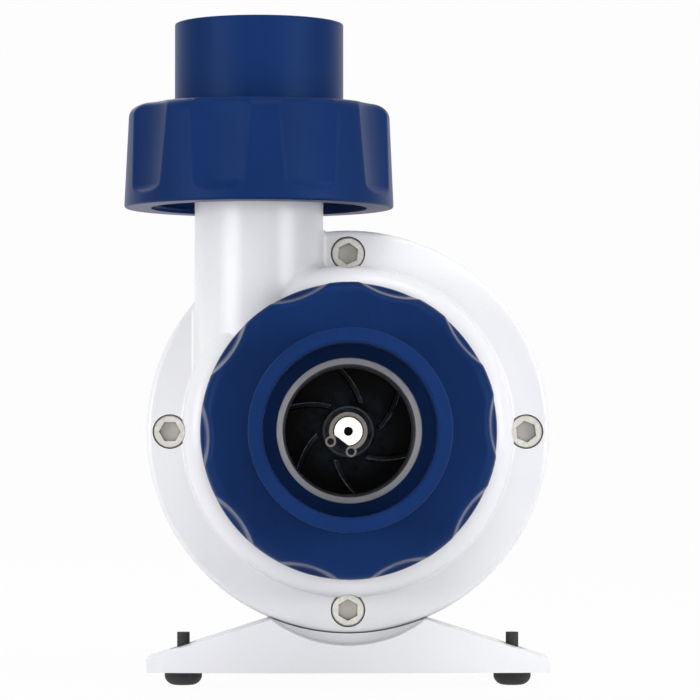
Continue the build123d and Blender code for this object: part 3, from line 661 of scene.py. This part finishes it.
def finishes():
    """The finishes by name, made once."""
    colours = bpy.context.scene.pump_colours
    makers = {
        "casing_white": lambda: white_plastic("casing_white", colours),
        "volute_white": lambda: white_plastic("volute_white", colours, throat=True),
        "union_blue": lambda: blue_plastic(colours),
        "wet_end_black": lambda: black_plastic(colours),
        "impeller_black": lambda: moulded_impeller(colours),
        "shaft_steel": lambda: shaft_steel(colours),
        "ring_steel": lambda: plain_metal("ring_steel", (0.78, 0.75, 0.72), 0.35, 0.9),
        "casing_screws_steel": lambda: screw_steel("casing_screws", 1, -1, colours),
        "rear_cap_screws_steel": lambda: screw_steel("rear_cap_screws", 1, 1, colours),
        "foot_screws_steel": lambda: screw_steel("foot_screws", 2, -1, colours),
        "soft_rubber": lambda: soft_rubber(colours),
        "bearing_ceramic": lambda: plain_metal("bearing_ceramic", (0.88, 0.87, 0.83), 0.25, 0.0),
        "rotor_ferrite": lambda: plain_metal("rotor_ferrite", (0.2, 0.2, 0.21), 0.5, 0.6),
        "core_laminations": lambda: plain_metal("core_laminations", (0.45, 0.45, 0.47), 0.45, 0.9),
        "copper_wire": copper_wire,
    }
    return {name: bpy.data.materials.get(name) or make() for name, make in makers.items()}


def dress_all(names, finish, rounding=0.0):
    """One finish on several nodes."""
    material = finishes()[finish]
    for name in names:
        dress(frame["nodes"][name], material, rounding)


def twist_impeller():
    """The impeller with its blades swept further back: each point turns by the log of its radius."""
    mesh = frame["nodes"]["impeller"].data.copy()
    mesh.name = "impeller_wheel"
    for vertex in mesh.vertices:
        arm = vertex.co - SHAFT
        reach = math.hypot(arm.x, arm.z)
        if reach > BLADE_START:
            turn = math.radians(BLADE_TWIST) * math.log(reach / BLADE_START)
            arm.rotate(Matrix.Rotation(-turn, 3, "Y"))
            vertex.co = SHAFT + arm
    wheel = bpy.data.objects.new("impeller_wheel", mesh)
    bpy.context.scene.collection.objects.link(wheel)
    dress(wheel, finishes()["impeller_black"], BLADE_ROUND)
    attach(wheel, "rotor")
    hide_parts("impeller")


def add_thread(name, place, radii, reach, phase, finish, body):
    """A ridge with its finish, moved to its place and riding on a body."""
    ridge = helix(name, radii, reach, bpy.context.scene.pump_sizes.thread_share, phase)
    ridge.data.materials.append(finishes()[finish])
    ridge.data.transform(place)
    smooth(ridge, THREAD_SHARP_ANGLE)
    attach(ridge, body)


def union_thread(prefix, place, nut_rear, foot_plain, collar_mouth, nut_body):
    """Threads of one union: on the collar, and inside the nut half a pitch further on.

    Heights run outwards along the collar, and foot_plain turns stay plain from the nut's rear.
    """
    depth = bpy.context.scene.pump_sizes.thread_depth
    low = nut_rear + foot_plain * THREAD_PITCH
    high = collar_mouth - COLLAR_MOUTH_PLAIN * THREAD_PITCH
    radii = (COLLAR_FOOT, COLLAR_FOOT + depth)
    name = prefix + "_collar_thread"
    add_thread(name, place, radii, (low, high), 0.0, "casing_white", "root")
    nut_low = nut_rear + NUT_REAR_PLAIN * THREAD_PITCH
    phase = 2 * math.pi * ((nut_low - low) / THREAD_PITCH + 0.5)
    radii = (NUT_BORE + THREAD_SINK, NUT_BORE - depth)
    name = prefix + "_nut_thread"
    add_thread(name, place, radii, (nut_low, high), phase, "union_blue", nut_body)


class PUMP_OT_casing(bpy.types.Operator):
    """Finish the casing, the motor housing, the rear cap and the brackets"""

    bl_idname = "pump.casing"
    bl_label = "White housings"

    def execute(self, context):
        rounding = context.scene.pump_sizes.edge_round
        dress_all(["volute_casing"], "volute_white", rounding)
        dress_all(["motor_housing", "rear_cap"], "casing_white", rounding)
        dress_all(["front_foot", "rear_foot"], "casing_white", rounding)
        return {"FINISHED"}


class PUMP_OT_unions(bpy.types.Operator):
    """Finish both union couplings and add their threads"""

    bl_idname = "pump.unions"
    bl_label = "Union couplings"

    def execute(self, context):
        rounding = context.scene.pump_sizes.edge_round
        dress_all(["inlet_socket", "outlet_socket"], "union_blue", rounding)
        dress_all(["inlet_union_nut", "outlet_union_nut"], "union_blue")
        forward = Matrix.Translation(SHAFT) @ Matrix.Rotation(math.radians(90), 4, "X")
        nut_rear = SHAFT.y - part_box("inlet_union_nut")[1].y
        mouth = SHAFT.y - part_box("volute_casing")[0].y
        union_thread("inlet", forward, nut_rear, INLET_FOOT_PLAIN, mouth, "inlet_nut")
        upright = Matrix.Translation((OUTLET.x, OUTLET.y, 0))
        nut_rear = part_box("outlet_union_nut")[0].z
        union_thread("outlet", upright, nut_rear, OUTLET_FOOT_PLAIN, OUTLET.z, "outlet_nut")
        return {"FINISHED"}


class PUMP_OT_rotor(bpy.types.Operator):
    """Finish the impeller, the shaft with its retaining ring and the magnet"""

    bl_idname = "pump.rotor"
    bl_label = "Rotor"

    def execute(self, context):
        twist_impeller()
        dress_all(["shaft"], "shaft_steel")
        dress_all(["shaft_circlip"], "ring_steel", RING_ROUND)
        dress_all(["rotor_magnet"], "rotor_ferrite")
        return {"FINISHED"}


class PUMP_OT_motor(bpy.types.Operator):
    """Finish the bearings and their plate, the can and the stator"""

    bl_idname = "pump.motor"
    bl_label = "Motor inside"

    def execute(self, context):
        dress_all(["bearing_plate", "rotor_can"], "wet_end_black")
        dress_all(["front_bearing", "rear_bearing", "thrust_washers"], "bearing_ceramic")
        dress_all(["stator_core"], "core_laminations")
        dress_all(["stator_windings"], "copper_wire")
        return {"FINISHED"}


class PUMP_OT_fasteners(bpy.types.Operator):
    """Finish the screws"""

    bl_idname = "pump.fasteners"
    bl_label = "Screws"

    def execute(self, context):
        for name in ("casing_screws", "rear_cap_screws", "foot_screws"):
            dress_all([name], name + "_steel", SCREW_ROUND)
        return {"FINISHED"}


class PUMP_OT_rubber(bpy.types.Operator):
    """Finish the seals and the rubber feet"""

    bl_idname = "pump.rubber"
    bl_label = "Seals and rubber feet"

    def execute(self, context):
        seals = ["casing_seal", "can_seal", "rear_cap_seal", "inlet_seal", "outlet_seal"]
        dress_all(seals, "soft_rubber")
        dress_all(["front_rubber_feet", "rear_rubber_feet"], "soft_rubber")
        dress_all(["gland_washer", "gland_insert"], "soft_rubber")
        return {"FINISHED"}


class PUMP_OT_gland(bpy.types.Operator):
    """Finish the cable gland"""

    bl_idname = "pump.gland"
    bl_label = "Cable gland"

    def execute(self, context):
        dress_all(["gland_body", "gland_nut"], "wet_end_black", GLAND_ROUND)
        return {"FINISHED"}


def studio_paper():
    """White paper: lit and shadowed as it lies, near white to the camera and to reflections."""
    finish = new_finish("studio_paper")
    cloud = finish.noise(finish.place(), scale=0.002)
    dark = (0.86, 0.86, 0.86, 1.0)
    light = (0.88, 0.88, 0.88, 1.0)
    plain_white = (1.0, 1.0, 1.0, 1.0)
    tone = finish.mix(cloud, dark, light)
    lit = finish.node("ShaderNodeBsdfDiffuse", inputs={"Color": tone})
    glow = finish.node("ShaderNodeEmission", inputs={"Color": plain_white, "Strength": 1.0})
    camera, glossy, through = finish.rays()
    seen = camera + glossy + through
    shader = finish.node("ShaderNodeMixShader", inputs={0: seen * PAPER_GLOW, 1: lit, 2: glow})
    finish.node("ShaderNodeOutputMaterial", inputs={"Surface": shader})
    return finish.block


def make_floor():
    """A paper sweep: flat under the pump, curving up far behind it."""
    width = 6.0
    front = -3.0
    bend_start = 1.6
    bend_radius = 0.9
    rise = 3.0
    steps = 16
    profile = [(front, 0.0), (bend_start, 0.0)]
    for step in range(1, steps + 1):
        angle = math.radians(90 * step / steps)
        along = bend_start + bend_radius * math.sin(angle)
        up = bend_radius * (1 - math.cos(angle))
        profile.append((along, up))
    profile.append((bend_start + bend_radius, rise))
    made = bmesh.new()
    rows = [[made.verts.new((side * width / 2, y, z)) for side in (-1, 1)] for y, z in profile]
    for first, second in zip(rows, rows[1:]):
        made.faces.new((first[0], first[1], second[1], second[0]))
    mesh = bpy.data.meshes.new("paper_sweep")
    made.to_mesh(mesh)
    made.free()
    floor = bpy.data.objects.new("paper_sweep", mesh)
    for polygon in mesh.polygons:
        polygon.use_smooth = True
    floor.data.materials.append(studio_paper())
    bpy.context.scene.collection.objects.link(floor)


def make_world():
    """Even soft light: the camera sees white, and so do reflections, dimmer from in front of the pump."""
    world = bpy.data.worlds.new("studio_world")
    bpy.context.scene.world = world
    sky = Finish(world)
    daylight = (0.985, 0.99, 1.0, 1.0)
    camera, glossy, through = sky.rays()
    heading = sky.parts_of(sky.node("ShaderNodeTexCoord", output="Generated"))
    mirrored = FRONT_MIRRORED + heading[1].between(-0.2, 0.95) * (1 - FRONT_MIRRORED)
    bounced = glossy * mirrored + (1 - glossy) * SOFT_LIGHT
    level = camera + (1 - camera) * (through + (1 - through) * bounced)
    glow = sky.node("ShaderNodeBackground", inputs={"Color": daylight, "Strength": level})
    sky.node("ShaderNodeOutputWorld", inputs={"Surface": glow})


def add_lamp(name, place, target, size, power):
    """A soft rectangular lamp turned towards a point."""
    lamp = bpy.data.lights.new(name, "AREA")
    lamp.shape = "RECTANGLE"
    lamp.size, lamp.size_y = size
    lamp.energy = power
    holder = bpy.data.objects.new(name, lamp)
    holder.location = place
    holder.visible_camera = False
    holder.rotation_mode = "QUATERNION"
    holder.rotation_quaternion = (Vector(target) - Vector(place)).to_track_quat("-Z", "Y")
    bpy.context.scene.collection.objects.link(holder)


def make_camera():
    """The photograph's view: a long lens, almost level, a little left of the shaft."""
    camera = bpy.data.cameras.new("photo_camera")
    camera.sensor_width = SENSOR_WIDTH
    camera.lens = SENSOR_WIDTH * FOCAL_PIXELS / IMAGE_PIXELS
    camera.clip_start = 0.05
    camera.clip_end = 20
    holder = bpy.data.objects.new("photo_camera", camera)
    holder.location = (SHAFT.x - CAMERA_LEFT, OUTLET.y - CAMERA_DISTANCE, SHAFT.z - CAMERA_BELOW)
    aim = Vector((AIM_RIGHT_PIXELS / FOCAL_PIXELS, 1, AIM_UP_PIXELS / FOCAL_PIXELS))
    holder.rotation_mode = "QUATERNION"
    holder.rotation_quaternion = aim.to_track_quat("-Z", "Y")
    bpy.context.scene.collection.objects.link(holder)
    bpy.context.scene.camera = holder


class PUMP_OT_stage(bpy.types.Operator):
    """Make the paper sweep, the soft lamps and the camera"""

    bl_idname = "pump.stage"
    bl_label = "Studio"

    def execute(self, context):
        context.scene.view_settings.view_transform = "Standard"
        make_floor()
        make_world()
        middle = (SHAFT.x, 0, SHAFT.z)
        low_middle = (SHAFT.x, 0, 0.05)
        mirrored_at = (SHAFT.x + CAMERA_LEFT, -1.05, SHAFT.z + CAMERA_BELOW)
        add_lamp("lamp_above", place=(0.3, -0.75, 1.3), target=middle, size=(1.2, 0.8), power=7.5)
        add_lamp("lamp_left", place=(-1.4, -1.0, 0.3), target=middle, size=(1.4, 1.0), power=4.4)
        add_lamp("lamp_right", place=(1.45, -1.0, 0.3), target=middle, size=(1.4, 1.0), power=3.7)
        for side in (-1, 1):
            low_place = (side * 0.9, -0.8, 0.16)
            add_lamp("lamp_low", place=low_place, target=low_middle, size=(0.6, 0.3), power=3.4)
        add_lamp("lamp_throat", place=mirrored_at, target=SHAFT, size=(0.08, 0.08), power=0.12)
        add_lamp("lamp_behind", place=(-0.5, 1.2, 1.0), target=middle, size=(1.0, 0.8), power=4.0)
        make_camera()
        return {"FINISHED"}


class PUMP_PT_panel(bpy.types.Panel):
    """Steps and settings of the pump's finishes"""

    bl_label = "Aquarium pump"
    bl_idname = "PUMP_PT_panel"
    bl_space_type = "VIEW_3D"
    bl_region_type = "UI"
    bl_category = "Pump"

    def draw(self, context):
        layout = self.layout
        for operator in OPERATORS:
            layout.operator(operator.bl_idname)
        for group in (context.scene.pump_colours, context.scene.pump_sizes):
            column = layout.column(align=True)
            for name in group.bl_rna.properties.keys():
                if name not in ("rna_type", "name"):
                    column.prop(group, name)


OPERATORS = (
    PUMP_OT_stage,
    PUMP_OT_casing,
    PUMP_OT_unions,
    PUMP_OT_rotor,
    PUMP_OT_motor,
    PUMP_OT_fasteners,
    PUMP_OT_rubber,
    PUMP_OT_gland,
)
CLASSES = (PumpColours, PumpSizes, *OPERATORS, PUMP_PT_panel)


def register():
    for kind in CLASSES:
        bpy.utils.register_class(kind)
    bpy.types.Scene.pump_colours = bpy.props.PointerProperty(type=PumpColours)
    bpy.types.Scene.pump_sizes = bpy.props.PointerProperty(type=PumpSizes)


def unregister():
    del bpy.types.Scene.pump_sizes
    del bpy.types.Scene.pump_colours
    for kind in reversed(CLASSES):
        bpy.utils.unregister_class(kind)


def main():
    register()
    bpy.ops.pump.stage()
    bpy.ops.pump.casing()
    bpy.ops.pump.unions()
    bpy.ops.pump.rotor()
    bpy.ops.pump.motor()
    bpy.ops.pump.fasteners()
    bpy.ops.pump.rubber()
    bpy.ops.pump.gland()


if __name__ == "__main__":
    main()
